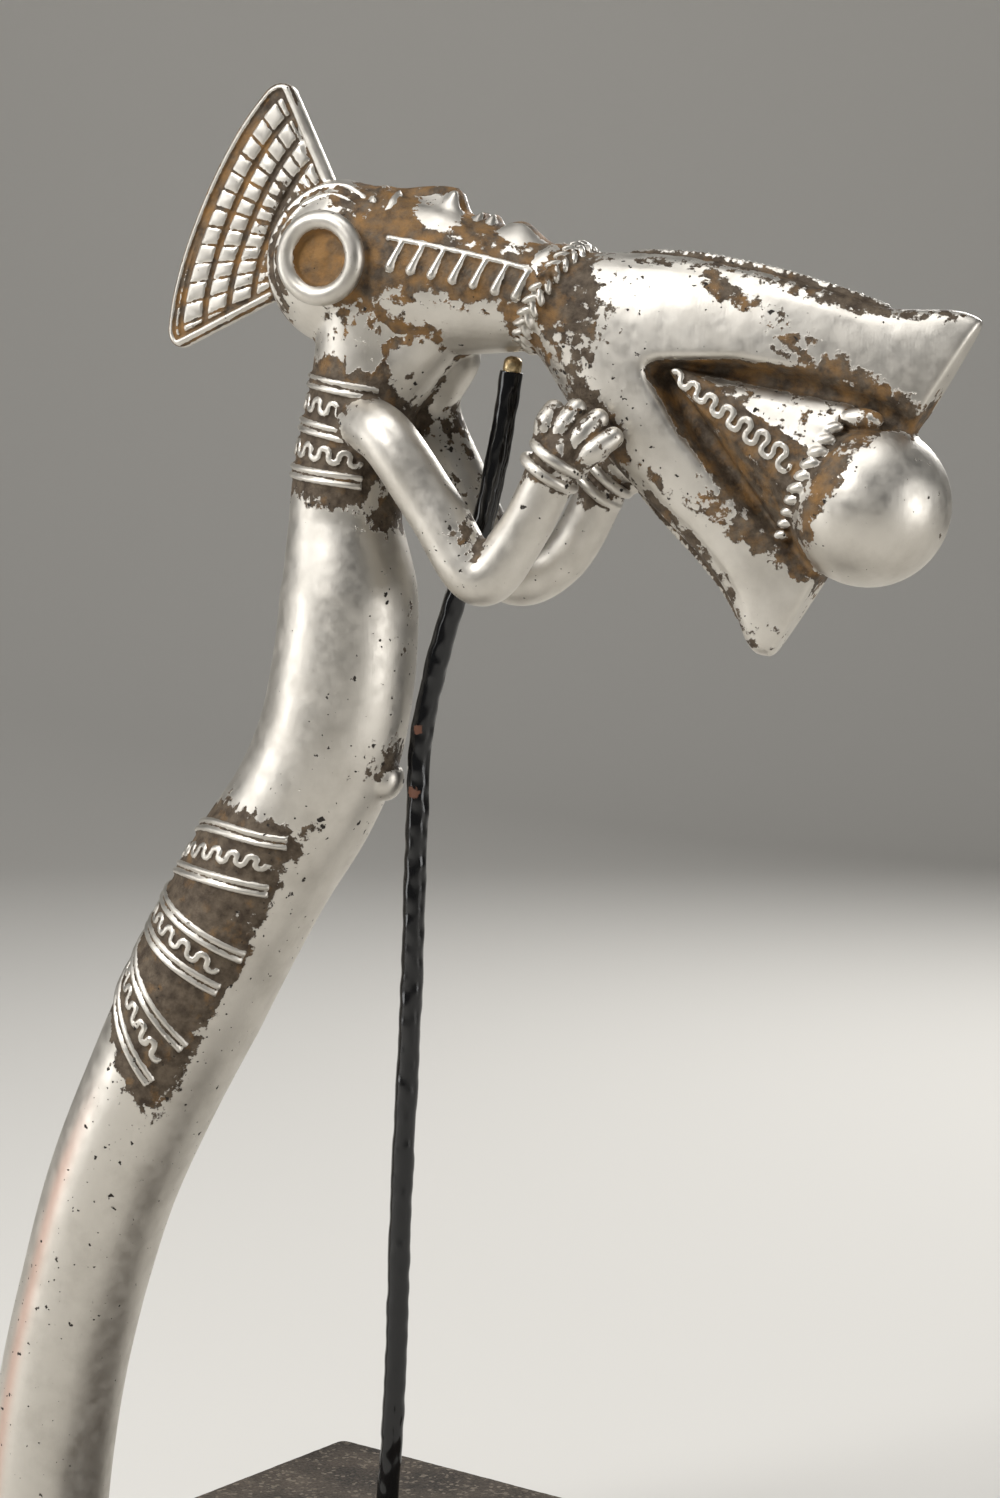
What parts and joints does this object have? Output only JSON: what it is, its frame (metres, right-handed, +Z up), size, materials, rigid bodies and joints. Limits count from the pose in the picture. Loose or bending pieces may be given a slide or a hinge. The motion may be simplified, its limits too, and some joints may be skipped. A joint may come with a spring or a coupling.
{
  "type": "ceremonial mace on a display rod",
  "caption": "Cast metal mace whose curved handle is a figure with its head thrown back and hands on a flared terminal, held up by a bent rod in a block",
  "frame": {"origin": "on the underside of the stand's block, on the rod's axis", "axes": "+Z up, the figure faces +X, the mace lies in the plane Y = 0"},
  "size_m": [0.2739, 0.1288, 0.4331],
  "materials": {
    "cast_silver": "silver-white cast metal with a worn satin polish, brown patina in the recesses and small casting pits",
    "rod_paint": "thick glossy black paint over steel, with a bare tip",
    "block_stone": "rough, speckled, dark brown-grey"
  },
  "bodies": {
    "root": {"mace": "cast_silver", "stand_rod": "rod_paint", "stand_block": "block_stone"}
  },
  "joints": []
}
